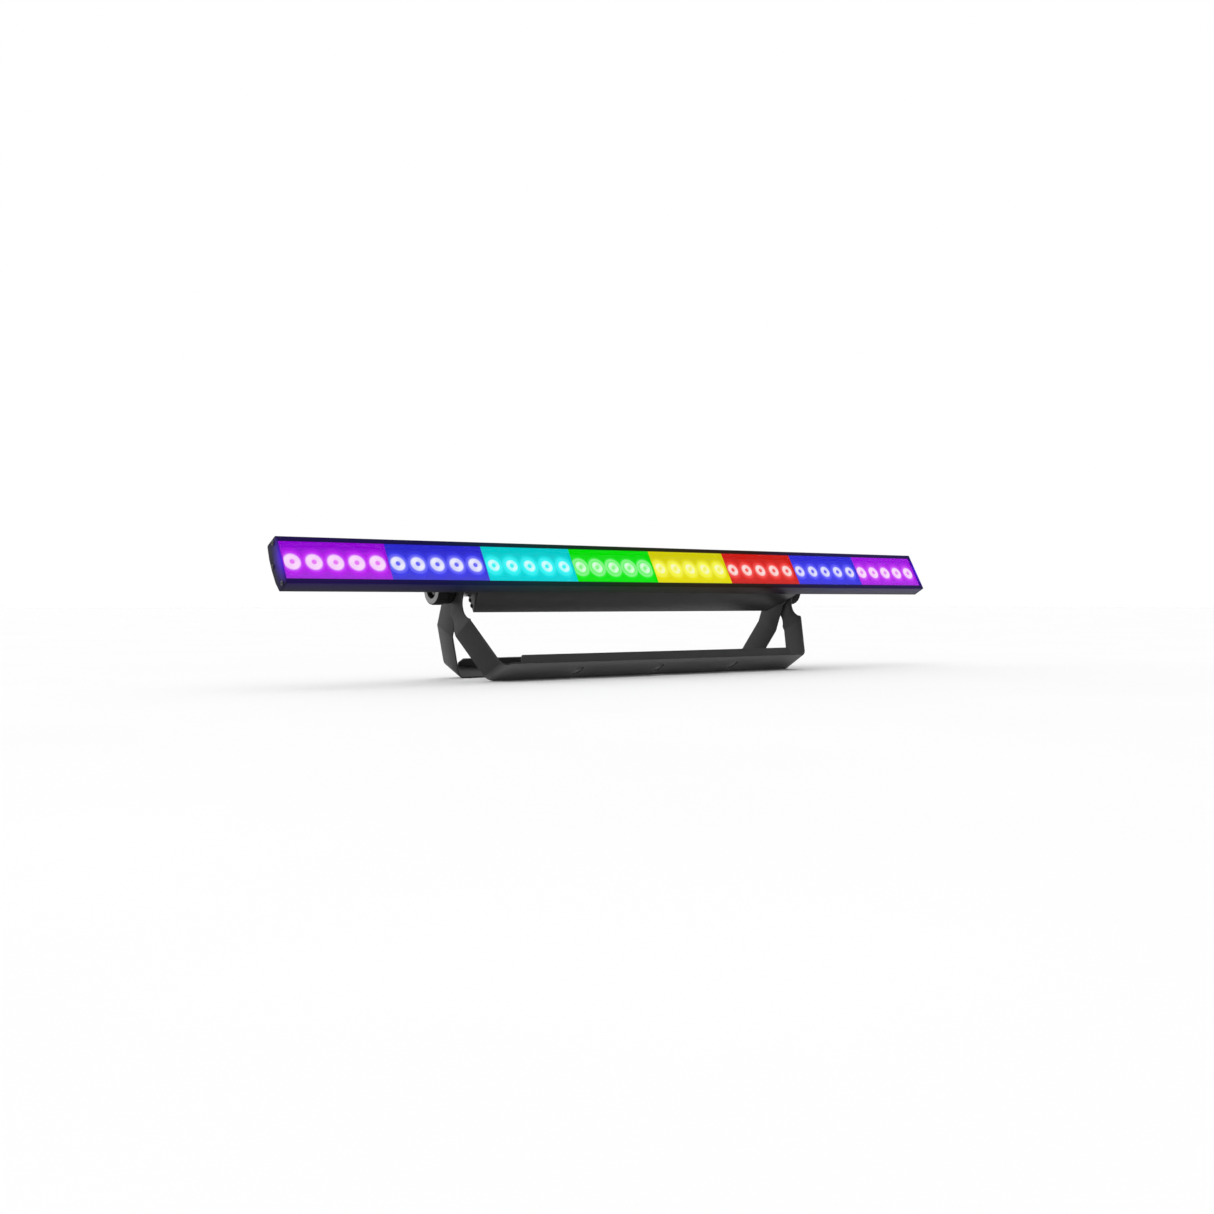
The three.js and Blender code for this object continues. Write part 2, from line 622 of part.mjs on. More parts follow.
// Bent strap seen from the front, in (x, z): down one leg, along the base and up the other.
function yokeStrap(halfLength, bendRadius, baseRadius) {
  const corner = baseCorner(halfLength, bendRadius, baseRadius);
  const outer = [
    [-halfLength, HUB_RADIUS], [-halfLength, -bendRadius, LEG_BEND],
    [-corner, -baseRadius, BASE_BEND], [corner, -baseRadius, BASE_BEND],
    [halfLength, -bendRadius, LEG_BEND], [halfLength, HUB_RADIUS],
  ];
  const inner = offsetPath(outer, SHEET, false).reverse();
  return rounded([...outer, ...inner]);
}

// Upright flange along one edge of the base; reach is where its outer face is.
function yokeFlange(baseRadius, { side, reach, halfLength, chamfer }) {
  const top = -baseRadius + FLANGE_HEIGHT;
  const outline = [[-halfLength, -baseRadius], [halfLength, -baseRadius], [halfLength, top - 5],
    [halfLength - chamfer, top], [-halfLength + chamfer, top], [-halfLength, top - 5]];
  return alongY(outline, ...ordered(side * reach, side * (reach - SHEET)));
}

// Strip of the base between the legs' edge and the flange's outer face, tapered at its ends.
function baseStrip(flat, baseRadius, { side, reach }) {
  const half = YOKE_WIDTH / 2;
  const taper = Math.abs(reach - half);
  const [long, short] = reach > half ? [flat, flat - taper] : [flat - taper, flat];
  const outline = [[-long, side * half], [long, side * half], [short, side * reach],
    [-short, side * reach]];
  const slack = reach > half ? 0 : THROUGH;
  return alongZ(outline, -baseRadius - slack, -baseRadius + SHEET + slack);
}

// Base slots for clamps, in a row along the strap.
function baseSlots(baseRadius) {
  return [-SLOT_SPACING, 0, SLOT_SPACING].map((x) => alongZ(
    rounded(rectangle(x - SLOT_WIDTH / 2, x + SLOT_WIDTH / 2, -SLOT_LENGTH / 2, SLOT_LENGTH / 2,
      SLOT_WIDTH / 2 - 0.1)),
    -baseRadius - THROUGH, -baseRadius + SHEET + THROUGH));
}

function yoke(halfLength, bendRadius, baseRadius, flange, necked) {
  const half = YOKE_WIDTH / 2;
  const plain = alongY(yokeStrap(halfLength, bendRadius, baseRadius), -half, half);
  const bendReach = BASE_BEND * Math.tan((Math.PI / 2 - LEG_SLANT) / 2);
  const flat = baseCorner(halfLength, bendRadius, baseRadius) - bendReach;
  const strip = baseStrip(flat, baseRadius, flange);
  const strap = flange.reach > half ? plain.add(strip) : plain.subtract(strip);
  const hubs = SIDES.map(([, side]) => {
    return alongX(circle(0, 0, HUB_RADIUS, 40), ...ordered(side * halfLength, side * (halfLength - SHEET)));
  });
  const aboveHub = block(-halfLength - 1, halfLength + 1, -half - 1, half + 1, 0, HUB_RADIUS + 1)
    .subtract(alongX(circle(0, 0, HUB_RADIUS, 40), -halfLength - 2, halfLength + 2));
  const cutters = [
    alongX(circle(0, 0, BOLT_HOLE, 24), -halfLength - 1, halfLength + 1),
    ...baseSlots(baseRadius),
  ];
  if (necked) {
    cutters.push(...NECK_CENTRES.map(([y, z]) => alongX(circle(y, z, NECK_RADIUS, 40),
      -halfLength - 1, halfLength + 1)));
  }
  const body = joined([strap.subtract(aboveHub), ...hubs, yokeFlange(baseRadius, flange)]);
  return cut(body, cutters);
}

const REAR_HALF_LENGTH = YOKE_HALF_LENGTH - SHEET - NEST_GAP;
const REAR_BEND_RADIUS = BEND_RADIUS - (SHEET + NEST_GAP) * Math.tan(LEG_SLANT / 2);

function washer(side, near, radius) {
  const [x0, x1] = ordered(side * near, side * (near + WASHER_THICKNESS));
  const ring = [[BOLT_HOLE, x0], [radius, x0], [radius, x1], [BOLT_HOLE, x1], [BOLT_HOLE, x0]];
  return turned(ring, "x", 0, 0, 0, 24);
}

function buildYokes() {
  add(frontYokeGroup, "front_yoke",
    yoke(YOKE_HALF_LENGTH, BEND_RADIUS, FRONT_BASE_RADIUS, FRONT_FLANGE, true), coated);
  add(rearYokeGroup, "rear_yoke",
    yoke(REAR_HALF_LENGTH, REAR_BEND_RADIUS, REAR_BASE_RADIUS, REAR_FLANGE, false), coated);
  for (const [name, side] of SIDES) {
    add(frontYokeGroup, `knob_washer_${name}`, washer(side, YOKE_HALF_LENGTH + GAP, 14), brightSteel);
    add(rearYokeGroup, `pivot_washer_${name}`, washer(side, REAR_HALF_LENGTH + GAP, 15), nylon);
  }
}

// ---------------------------------------------------------------- pivots

const KNOB_START = YOKE_HALF_LENGTH + GAP + WASHER_THICKNESS + GAP;
const BOSS_END = REAR_HALF_LENGTH - SHEET - GAP;
const RECESS_RADIUS = 10;
const KNOB_NECK_RADIUS = 16.4;
const KNOB_NECK_LENGTH = 10;
const RECESS_FLOOR = KNOB_TIP - 11;
const SOCKET_HEAD = { radius: 7.6, height: 7 };
const BOLT_START = 226;

// Threaded boss through the end of the box, closed at its inner end.
function pivotBoss() {
  return turned([
    [0, BOLT_START - 5], [BOSS_RADIUS - 1, BOLT_START - 5], [BOSS_RADIUS, BOLT_START - 4],
    [BOSS_RADIUS, BOSS_END], [BOLT_HOLE, BOSS_END], [BOLT_HOLE, BOLT_START - GAP],
    [0, BOLT_START - GAP],
  ], "x", 0, 0, 0, 24);
}

function knobGrip() {
  return turned([
    [BOLT_HOLE, KNOB_START], [KNOB_NECK_RADIUS - 0.8, KNOB_START],
    [KNOB_NECK_RADIUS, KNOB_START + 0.8], [KNOB_NECK_RADIUS, KNOB_START + KNOB_NECK_LENGTH],
    [KNOB_RADIUS, KNOB_START + KNOB_NECK_LENGTH + 1.2],
    [KNOB_RADIUS, KNOB_TIP - 1.2], [KNOB_RADIUS - 1.2, KNOB_TIP], [RECESS_RADIUS, KNOB_TIP],
    [RECESS_RADIUS, RECESS_FLOOR], [BOLT_HOLE, RECESS_FLOOR], [BOLT_HOLE, KNOB_START],
  ], "x", 0, 0, 0, 28);
}

function knobBolt() {
  const seat = RECESS_FLOOR + GAP;
  const tip = seat + SOCKET_HEAD.height;
  const bolt = turned([
    [0, BOLT_START], [BOLT_RADIUS - 0.8, BOLT_START], [BOLT_RADIUS, BOLT_START + 0.8],
    [BOLT_RADIUS, seat], [SOCKET_HEAD.radius, seat], [SOCKET_HEAD.radius, tip - 0.8],
    [SOCKET_HEAD.radius - 0.8, tip], [0, tip],
  ], "x", 0, 0, 0, 20);
  return bolt.subtract(alongX(circle(0, 0, 4.4, 6), tip - 4.5, tip + 1));
}

function buildPivots() {
  for (const [name, side] of SIDES) {
    const facing = (solid) => (side > 0 ? solid : solid.rotate([0, 0, 180]));
    add(head, `pivot_boss_${name}`, facing(pivotBoss()), aluminium);
    add(head, `knob_grip_${name}`, facing(knobGrip()), blackPlastic);
    add(head, `knob_bolt_${name}`, facing(knobBolt()), screwSteel);
  }
}

buildBar();
buildBox();
buildYokes();
buildPivots();

export default group;
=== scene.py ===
"""Looks for the LED strip batten.

Lengths are in metres. The head's pieces are made in the head's own frame, which sits on the pivot
axis: x along the bar, -y the way the lights face, z up the window. HEAD puts them in the row frame.
"""

import json
import math

import bmesh
import bpy
from mathutils import Matrix, Vector

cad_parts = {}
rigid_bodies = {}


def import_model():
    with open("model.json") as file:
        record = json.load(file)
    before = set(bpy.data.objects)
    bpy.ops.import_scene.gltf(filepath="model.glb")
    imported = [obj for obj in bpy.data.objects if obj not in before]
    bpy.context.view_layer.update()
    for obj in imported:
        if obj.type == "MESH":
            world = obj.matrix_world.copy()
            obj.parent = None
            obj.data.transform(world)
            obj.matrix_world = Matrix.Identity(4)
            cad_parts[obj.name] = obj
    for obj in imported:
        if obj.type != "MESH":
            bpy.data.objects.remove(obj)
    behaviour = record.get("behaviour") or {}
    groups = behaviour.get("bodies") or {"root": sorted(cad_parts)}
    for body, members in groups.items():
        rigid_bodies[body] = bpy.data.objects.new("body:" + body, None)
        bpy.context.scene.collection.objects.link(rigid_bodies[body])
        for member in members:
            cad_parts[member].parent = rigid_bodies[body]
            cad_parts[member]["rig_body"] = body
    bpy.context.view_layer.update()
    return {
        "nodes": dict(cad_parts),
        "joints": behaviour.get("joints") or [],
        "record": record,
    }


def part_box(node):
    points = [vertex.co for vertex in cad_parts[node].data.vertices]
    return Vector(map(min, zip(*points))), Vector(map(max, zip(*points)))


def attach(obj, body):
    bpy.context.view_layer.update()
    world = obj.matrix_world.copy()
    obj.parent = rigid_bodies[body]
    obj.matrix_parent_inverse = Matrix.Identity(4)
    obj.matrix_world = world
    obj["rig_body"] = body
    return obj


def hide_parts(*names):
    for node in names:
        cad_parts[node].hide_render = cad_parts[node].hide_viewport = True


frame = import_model()

MM = 0.001


def in_mm(pairs):
    return [(a * MM, b * MM) for a, b in pairs]


# ---------------------------------------------------------------- places read from the frame

slot_of = {part["node"]: part["material_slot"] for part in frame["record"]["subparts"]}
joints = {joint["name"]: joint for joint in frame["joints"]}
PIVOT = Vector(joints["head_tilt"]["pos_m"])
press = Vector(joints["button_1_press"]["axis"])
TILT = math.atan2(press.z, -press.y)
HEAD = Matrix.Translation(PIVOT) @ Matrix.Rotation(-TILT, 4, "X")


def local_box(node):
    """Lowest and highest corner of a CAD node in the head's own frame."""
    to_local = HEAD.inverted()
    points = [to_local @ vertex.co for vertex in frame["nodes"][node].data.vertices]
    low = Vector([min(p[i] for p in points) for i in range(3)])
    high = Vector([max(p[i] for p in points) for i in range(3)])
    return low, high


bar_low, bar_high = local_box("bar_housing")
FACE_Y = bar_low.y
FACE_BOTTOM = bar_low.z
LIP_BOTTOM = 5.1 * MM
WINDOW_HEIGHT = 45.4 * MM
WINDOW_MIDDLE = FACE_BOTTOM + LIP_BOTTOM + WINDOW_HEIGHT / 2
PANEL_FACE = local_box("control_bezel")[0].y

SECTIONS = 8
LIGHTS_PER_SECTION = 5
SECTION_LENGTH = (bar_high.x - bar_low.x) / SECTIONS
PITCH = SECTION_LENGTH / LIGHTS_PER_SECTION


# ---------------------------------------------------------------- mesh helpers


def new_object(name, mesh, place=Matrix.Identity(4)):
    piece = bpy.data.objects.new(name, mesh)
    bpy.context.scene.collection.objects.link(piece)
    piece.matrix_world = place
    return piece


SMOOTH_ANGLE = math.radians(30)


def from_bmesh(name, bm, place=Matrix.Identity(4)):
    """New object from a bmesh, shaded smooth but for its edges sharper than SMOOTH_ANGLE."""
    bmesh.ops.recalc_face_normals(bm, faces=bm.faces)
    for edge in bm.edges:
        edge.smooth = len(edge.link_faces) == 2 and edge.calc_face_angle() < SMOOTH_ANGLE
    for face in bm.faces:
        face.smooth = True
    mesh = bpy.data.meshes.new(name)
    bm.to_mesh(mesh)
    bm.free()
    return new_object(name, mesh, place)


def bevelled(node, width, angle=32):
    """Copy of a CAD node with its edges sharper than the angle rounded, which stands for it."""
    bm = bmesh.new()
    bm.from_mesh(frame["nodes"][node].data)
    bmesh.ops.remove_doubles(bm, verts=bm.verts, dist=1e-6)
    bmesh.ops.dissolve_limit(bm, angle_limit=math.radians(1), verts=bm.verts, edges=bm.edges)
    sharp = [edge for edge in bm.edges
             if len(edge.link_faces) == 2 and edge.calc_face_angle() > math.radians(angle)]
    bmesh.ops.bevel(bm, geom=sharp, offset=width, offset_type="OFFSET", segments=2,
                    profile=0.5, affect="EDGES", clamp_overlap=True)
    bmesh.ops.triangulate(bm, faces=[face for face in bm.faces if len(face.verts) > 4])
    piece = from_bmesh(f"{node}_shape", bm)
    dress(piece, frame["nodes"][node]["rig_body"], slot_of[node], node)
    return piece


def dress(piece, body, slot, *nodes):
    """Says what a piece rides on and which CAD nodes it stands for. Its slot argument is not used."""
    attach(piece, body)
    if nodes:
        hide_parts(*nodes)


# ---------------------------------------------------------------- node helpers


class Nodes:
    """Short names for building the node tree of a material or a world."""

    def __init__(self, owner):
        self.owner = owner
        owner.use_nodes = True
        self.tree = owner.node_tree
        self.tree.nodes.clear()

    def node(self, kind, inputs=None, **settings):
        made = self.tree.nodes.new(f"ShaderNode{kind}")
        for name, value in settings.items():
            setattr(made, name, value)
        for name, value in (inputs or {}).items():
            self.feed(made.inputs[name], value)
        return made

    def feed(self, socket, value):
        if isinstance(value, bpy.types.NodeSocket):
            self.tree.links.new(value, socket)
        else:
            socket.default_value = value

    def math(self, operation, *values, clamp=False):
        made = self.node("Math", operation=operation, use_clamp=clamp)
        for socket, value in zip(made.inputs, values):
            self.feed(socket, value)
        return made.outputs[0]

    def noise(self, vector, scale, detail, roughness=0.5):
        made = self.node("TexNoise", {"Vector": vector, "Scale": scale, "Detail": detail,
                                      "Roughness": roughness})
        return made.outputs["Fac"]

    def position(self):
        return self.node("TexCoord").outputs["Object"]

    def stretched(self, vector, scale):
        return self.node("Mapping", {"Vector": vector, "Scale": scale}).outputs["Vector"]

    def ramp(self, factor, stops, interpolation="LINEAR"):
        made = self.node("ValToRGB", {"Fac": factor})
        made.color_ramp.interpolation = interpolation
        elements = made.color_ramp.elements
        while len(elements) < len(stops):
            elements.new(0.5)
        for element, (place, color) in zip(elements, stops):
            element.position = place
            element.color = (*color, 1)
        return made.outputs["Color"]

    def mix(self, factor, a, b):
        made = self.node("Mix", data_type="RGBA", blend_type="MIX")
        for socket, value in ((made.inputs[0], factor), (made.inputs[6], a), (made.inputs[7], b)):
            self.feed(socket, (*value, 1) if isinstance(value, tuple) else value)
        return made.outputs[2]

    def remap(self, value, low, high, to_low, to_high):
        made = self.node("MapRange", {"Value": value, "From Min": low, "From Max": high,
                                      "To Min": to_low, "To Max": to_high})
        return made.outputs[0]

    def bump(self, height, strength, distance):
        made = self.node("Bump", {"Height": height, "Strength": strength, "Distance": distance})
        return made.outputs["Normal"]

    def edge_mask(self, radius, sharpness):
        """1 near convex and concave edges, 0 on flats."""
        soft = self.node("Bevel", {"Radius": radius}, samples=4).outputs["Normal"]
        plain = self.node("NewGeometry").outputs["Normal"]
        dot = self.node("VectorMath", operation="DOT_PRODUCT")
        self.feed(dot.inputs[0], soft)
        self.feed(dot.inputs[1], plain)
        return self.remap(dot.outputs["Value"], 1.0, 1.0 - sharpness, 0.0, 1.0)

    def surface(self, **inputs):
        """Ends the tree with one principled shader and returns the material."""
        made = self.node("BsdfPrincipled", {name.replace("_", " "): value
                                            for name, value in inputs.items()})
        self.node("OutputMaterial", {"Surface": made.outputs[0]})
        return self.owner


def new_material(name):
    return Nodes(bpy.data.materials.new(name))


def gray(value):
    return (value, value, value)


def linear(red, green, blue):
    """Linear colour of a display colour given in 0 to 255."""
    def convert(value):
        share = value / 255
        return share / 12.92 if share <= 0.04045 else ((share + 0.055) / 1.055) ** 2.4
    return tuple(convert(value) for value in (red, green, blue))


# ---------------------------------------------------------------- materials


def powder_coat(name, base, edge_wear_and_highlight, rough, shine, underside=None):
    """Fine-texture powder coat on sheet, lighter along its edges, partly from rubbed wear and partly
    as a painted highlight, and, if told, lighter on faces turned down as painted floor bounce.
    """
    t = new_material(name)
    place = t.position()
    mottle = t.noise(place, 35, 4)
    fine = t.noise(place, 2600, 2)
    patches = t.remap(t.noise(place, 90, 5), 0.42, 0.66, 0.1, 0.8)
    # Edges are made lighter: partly rubbed wear, partly a painted edge highlight.
    lighter_edges = t.math("MULTIPLY", t.edge_mask(0.0008, 0.25), patches)
    color = t.mix(t.remap(mottle, 0.3, 0.7, 0, 1), gray(base * 0.9), gray(base * 1.12))
    # Faces turned down are made lighter: painted light bounced up from the floor.
    if underside:
        facing = t.node("SeparateXYZ", {"Vector": t.node("TexCoord").outputs["Normal"]}).outputs
        color = t.mix(t.remap(facing["Z"], -0.45, -0.8, 0, 1), color, gray(underside))
    return t.surface(
        Base_Color=t.mix(lighter_edges, color, gray(edge_wear_and_highlight)),
        Roughness=t.remap(fine, 0.3, 0.7, rough - 0.06, rough + 0.08),
        Specular_IOR_Level=shine,
        Normal=t.bump(fine, 0.35, 0.00012),
    )


def moulded(name, color, rough, shine=0.4):
    """Moulded plastic with a fine spark-eroded grain."""
    t = new_material(name)
    place = t.position()
    mottle = t.noise(place, 60, 3)
    fine = t.noise(place, 1500, 2)
    lighter_edges = t.math("MULTIPLY", t.edge_mask(0.0006, 0.3), 0.35)
    shade = t.mix(t.remap(mottle, 0.3, 0.7, 0, 1), tuple(c * 0.9 for c in color),
                  tuple(min(c * 1.1, 1) for c in color))
    return t.surface(
        Base_Color=t.mix(lighter_edges, shade, tuple(min(c * 1.8 + 0.02, 1) for c in color)),
        Roughness=t.remap(fine, 0.3, 0.7, rough - 0.05, rough + 0.08),
        Specular_IOR_Level=shine,
        Normal=t.bump(fine, 0.25, 0.0001),
    )


def bare_metal(name, color, rough, stretch=(1, 1, 1)):
    """Metal with drawn or turned marks, which run along the axis that stretch shortens."""
    t = new_material(name)
    place = t.position()
    marks = t.noise(t.stretched(place, stretch), 700, 4, 0.6)
    stain = t.noise(place, 45, 4)
    shade = t.mix(t.remap(stain, 0.35, 0.7, 0, 1), tuple(c * 0.85 for c in color), color)
    return t.surface(
        Base_Color=shade,
        Metallic=1.0,
        Roughness=t.remap(marks, 0.3, 0.7, rough - 0.08, rough + 0.1),
        Normal=t.bump(marks, 0.12, 0.00008),
    )


# Display colours of the eight sections: upper edge, near a light, its ring, its middle, lower edge.
SECTION_LOOKS = [
    ((148, 4, 214), (204, 26, 252), (255, 222, 255), (240, 128, 248), (168, 44, 224)),
    ((42, 40, 206), (62, 62, 255), (240, 240, 255), (104, 102, 246), (68, 66, 218)),
    ((0, 204, 206), (0, 254, 254), (222, 255, 255), (52, 246, 246), (0, 214, 218)),
    ((0, 222, 0), (40, 252, 54), (226, 255, 226), (140, 251, 140), (0, 232, 4)),
    ((212, 204, 0), (254, 252, 0), (252, 252, 196), (246, 244, 104), (232, 222, 2)),
    ((206, 22, 14), (250, 38, 32), (255, 226, 222), (246, 84, 80), (208, 38, 32)),
    ((45, 41, 216), (62, 58, 255), (232, 230, 255), (98, 90, 246), (62, 58, 226)),
    ((162, 14, 226), (208, 44, 253), (255, 226, 254), (236, 136, 248), (172, 38, 230)),
]
# For each section: the lit ring's radius in mm, how uneven the ring is, and its outer rim's strength.
RING_RADII = [10.5, 9.8, 8.4, 8.6, 8.4, 9.2, 9.2, 9.9]
PATCHY_RINGS = [0.12, 0.2, 0.4, 0.4, 0.5, 0.2, 0.2, 0.15]
RIM_STRENGTHS = [0.05, 0.1, 0.05, 0.3, 0.12, 0.06, 0.08, 0.05]
# Display colours of the light that each section throws on the lips.
SPILL_LOOKS = [
    (28, 8, 74), (12, 10, 66), (2, 44, 46), (10, 42, 10), (38, 30, 10), (34, 10, 12), (22, 18, 74),
    (30, 14, 76),
]
HALO_LOOK = (84, 6, 222)  # on the end plates, beside the outermost light

# Parts of a lit lens, as distances from its middle.
CORE_RADIUS = 2.2 * MM
RING_INNER = 3.4 * MM
RING_BLUR = 2.2 * MM
HAZE_REACH = 8 * MM
RIM_INNER = 9.8 * MM
RIM_OUTER = 11.4 * MM
RIM_BLUR = 1.8 * MM

SHADE_REACH = 18 * MM  # from the window's middle to where its edge colours are full
SPILL_DEPTH = 18 * MM  # how far behind the face the sections' light reaches on the bar
HALO_DEPTH = 20 * MM  # how far behind the face an end plate's halo reaches
HALO_CORE = 4 * MM  # from the window's middle, where the halo starts to fade
HALO_REACH = 28 * MM  # and where it ends


def along_bar(t, stops, blended=False):
    """A colour for each section, by how far a point is along the bar. Needs row-frame places."""
    x = t.node("SeparateXYZ", {"Vector": t.position()}).outputs["X"]
    share = t.remap(x, bar_low.x, bar_high.x, 0, 1)
    start = 0.5 if blended else 0
    places = [((i + start) / SECTIONS, color) for i, color in enumerate(stops)]
    return t.ramp(share, places, "LINEAR" if blended else "CONSTANT")


def head_place(t):
    """Position in the head's own frame, for a piece whose mesh is in the row frame."""
    turned = t.node("VectorRotate", {"Vector": t.position(), "Center": PIVOT, "Angle": TILT},
                    rotation_type="X_AXIS")
    moved = t.node("VectorMath", operation="SUBTRACT")
    t.feed(moved.inputs[0], turned.outputs["Vector"])
    t.feed(moved.inputs[1], PIVOT)
    return t.node("SeparateXYZ", {"Vector": moved.outputs["Vector"]}).outputs


def face_depth(t):
    """How far a point is behind the bar's face."""
    return t.math("SUBTRACT", head_place(t)["Y"], FACE_Y)


def light_spill(t):
    """Colour that the sections throw on the lips and the underside, and how strongly."""
    spill = along_bar(t, [linear(*look) for look in SPILL_LOOKS], blended=True)
    depth = face_depth(t)
    near = t.remap(depth, 1 * MM, SPILL_DEPTH, 0.9, 0.12)
    reached = t.remap(depth, SPILL_DEPTH - 0.2 * MM, SPILL_DEPTH + 0.8 * MM, 1, 0)
    return spill, t.math("MULTIPLY", near, reached)


def end_halo(t):
    """Glow of the outermost light on an end plate, brightest at its front edge, and how strong."""
    across = t.remap(face_depth(t), 0, HALO_DEPTH, 1, 0)
    away = t.math("ABSOLUTE", t.math("SUBTRACT", head_place(t)["Z"], WINDOW_MIDDLE))
    level = t.math("MULTIPLY", t.remap(away, HALO_CORE, HALO_REACH, 1, 0),
                   t.math("POWER", across, 1.4))
    return (*linear(*HALO_LOOK), 1), t.math("ADD", t.math("MULTIPLY", level, 0.85), 0.02)


def anodised(name, base, rough, glow, shine=0.12):
    """Black anodised metal: fine lines along the bar, and the lights' colour that falls on it.

    glow is a function that gives that colour and its strength.
    """
    t = new_material(name)
    place = t.position()
    lines = t.noise(t.stretched(place, (0.02, 1, 1)), 1800, 3)
    mottle = t.noise(place, 25, 3)
    patches = t.remap(t.noise(place, 60, 5), 0.45, 0.7, 0, 0.5)
    lighter_edges = t.math("MULTIPLY", t.edge_mask(0.0006, 0.3), patches)
    color = t.mix(t.remap(mottle, 0.3, 0.7, 0, 1), gray(base * 0.85), gray(base * 1.15))
    spill, strength = glow(t)
    return t.surface(
        Base_Color=t.mix(lighter_edges, color, gray(0.06)),
        Roughness=t.remap(lines, 0.3, 0.7, rough - 0.05, rough + 0.08),
        Specular_IOR_Level=t.remap(face_depth(t), 1 * MM, 3 * MM, 0.03, shine),
        Normal=t.bump(lines, 0.15, 0.0001),
        Emission_Color=spill,
        Emission_Strength=strength,
    )


def clear_sheet(name, rough):
    """Clear polycarbonate with faint wipe marks."""
    t = new_material(name)
    marks = t.noise(t.stretched(t.position(), (0.15, 1, 1)), 120, 4)
    return t.surface(
        Base_Color=(0.985, 0.99, 1.0, 1),
        Roughness=t.remap(marks, 0.35, 0.75, rough, rough + 0.02),
        IOR=1.08,
        Transmission_Weight=1.0,
    )


GLOW_BASE = 0.002  # lit pieces are dark of themselves, so that the studio doesn't wash them out


def glow_rails(name):
    """White frame and boards behind the window, glowing in their section's colour, which is painted
    light from that section's lamps.
    """
    t = new_material(name)
    up = t.math("SUBTRACT", head_place(t)["Z"], WINDOW_MIDDLE)
    cloud = t.remap(t.noise(t.position(), 120, 4), 0.3, 0.7, -0.15, 0.15)
    high = along_bar(t, [linear(*look[0]) for look in SECTION_LOOKS])
    low = along_bar(t, [linear(*look[4]) for look in SECTION_LOOKS])
    share = t.math("ADD", t.remap(up, SHADE_REACH, -SHADE_REACH, 0, 1), cloud, clamp=True)
    return t.surface(
        Base_Color=(*gray(GLOW_BASE), 1),
        Roughness=0.6,
        Specular_IOR_Level=0.05,
        Emission_Color=t.mix(share, high, low),
        Emission_Strength=0.95,
    )


def band(t, radius, inner, outer, soft):
    """1 between two radii, falling to 0 over the soft width on both sides."""
    rise = t.remap(radius, inner - soft, inner, 0, 1)
    fall = t.remap(radius, outer, outer + soft, 1, 0)
    return t.math("MULTIPLY", rise, fall)


def section_glow(name, section):
    """Lit lens plate: a ring and a coloured middle for each light, and haze between them.

    The mesh's own frame has its middle at the middle of the section's window.
    """
    high, close, ring, middle, low = (linear(*color) for color in SECTION_LOOKS[section])
    t = new_material(name)
    place = t.position()
    part = t.node("SeparateXYZ", {"Vector": place}).outputs
    along = t.math("ADD", part["X"], SECTION_LENGTH / 2)
    cell = t.math("SUBTRACT", t.math("MODULO", along, PITCH), PITCH / 2)
    square = t.math("ADD", t.math("MULTIPLY", cell, cell), t.math("MULTIPLY", part["Z"], part["Z"]))
    radius = t.math("SQRT", square)
    slant = t.math("DIVIDE", t.math("MULTIPLY", cell, part["Z"]), t.math("ADD", square, 1e-6))
    cloud = t.noise(place, 110, 4)
    reach = RING_RADII[section] * MM

    shade = t.mix(t.remap(part["Z"], SHADE_REACH, -SHADE_REACH, 0, 1), high, low)
    haze = t.math("MULTIPLY", t.remap(radius, reach, reach + HAZE_REACH, 1, 0),
                  t.remap(cloud, 0.3, 0.7, 0.8, 1.0))
    shade = t.mix(haze, shade, close)
    rim = t.math("MULTIPLY", band(t, radius, RIM_INNER, RIM_OUTER, RIM_BLUR),
                 RIM_STRENGTHS[section])
    shade = t.mix(rim, shade, ring)
    strength = t.remap(slant, -0.5, 0.5, 1.0, 1.0 - PATCHY_RINGS[section])
    lit = t.math("MULTIPLY", band(t, radius, RING_INNER, reach - RING_BLUR, RING_BLUR), strength)
    shade = t.mix(lit, shade, ring)
    shade = t.mix(t.remap(radius, CORE_RADIUS, RING_INNER, 0.9, 0), shade, middle)
    return t.surface(
        Base_Color=(*gray(GLOW_BASE), 1),
        Roughness=0.3,
        Specular_IOR_Level=0.05,
        Emission_Color=shade,
        Emission_Strength=0.97,
    )


def display_face(name):
    """Dark display window with a faint scan of dots."""
    t = new_material(name)
    dots = t.node("TexVoronoi", {"Vector": t.position(), "Scale": 1400.0}).outputs["Distance"]
    return t.surface(
        Base_Color=t.mix(t.remap(dots, 0, 0.6, 0, 1), linear(14, 26, 46), linear(8, 14, 28)),
        Roughness=t.remap(dots, 0, 0.6, 0.08, 0.16),
        Coat_Weight=0.5,
    )


def lit_digits(name):
    """Segments of a lit display, a little uneven in brightness."""
    t = new_material(name)
    cloud = t.noise(t.position(), 400, 2)
    return t.surface(
        Base_Color=(0.02, 0.02, 0.03, 1),
        Roughness=0.4,
        Emission_Color=(*linear(120, 200, 255), 1),
        Emission_Strength=t.remap(cloud, 0.3, 0.7, 0.8, 1.1),
    )


